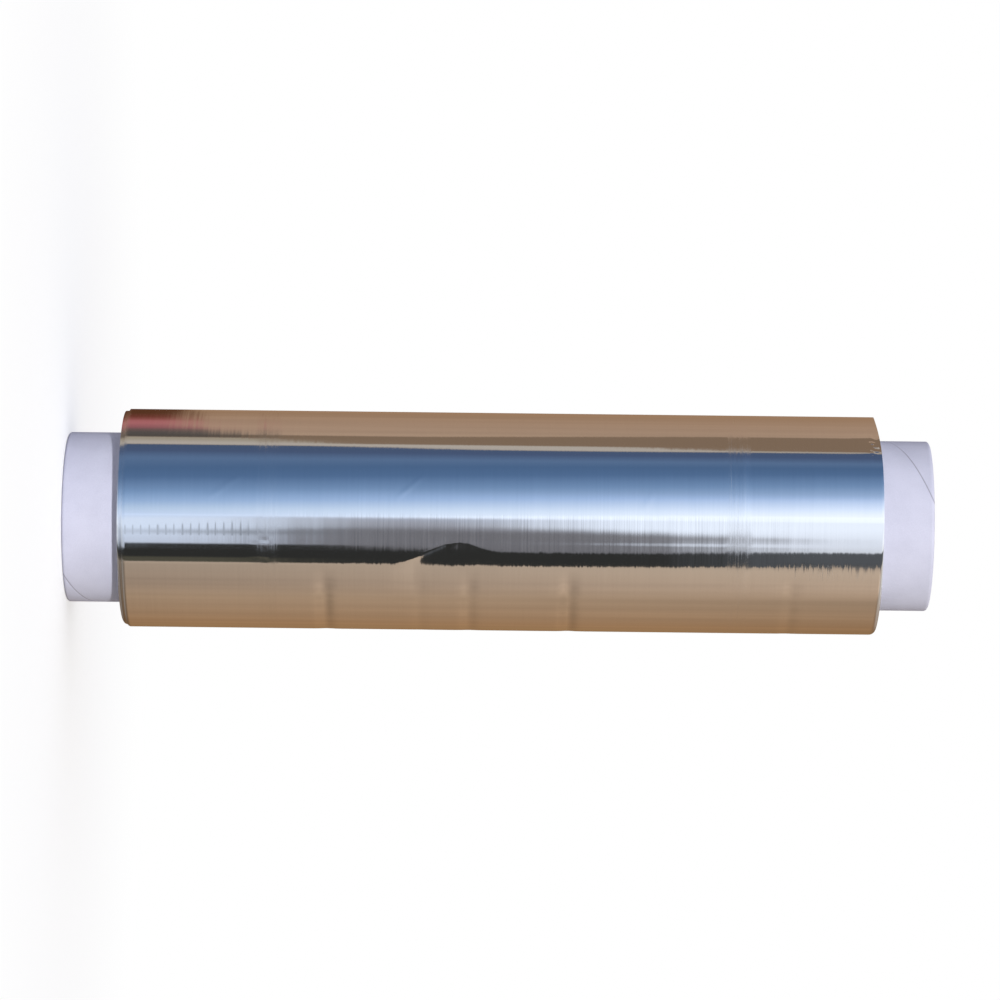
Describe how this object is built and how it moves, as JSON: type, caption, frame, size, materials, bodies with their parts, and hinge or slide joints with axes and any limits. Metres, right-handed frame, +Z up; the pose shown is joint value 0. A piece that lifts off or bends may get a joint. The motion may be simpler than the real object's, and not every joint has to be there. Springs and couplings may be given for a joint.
{
  "type": "aluminium foil roll",
  "caption": "Catering roll of aluminium foil wound on a plain white paper tube that stands out at both ends.",
  "frame": {"origin": "middle of the tube's lower end face, on the surface that the roll stands on", "axes": "+Z up along the tube; -Y towards the side that the picture shows; +Z is the picture's right"},
  "size_m": [0.0875, 0.0877, 0.3454],
  "materials": {
    "tube_paper": "matte",
    "foil": "polished"
  },
  "bodies": {
    "root": {"core_tube": "tube_paper", "foil_winding": "foil"}
  },
  "joints": []
}
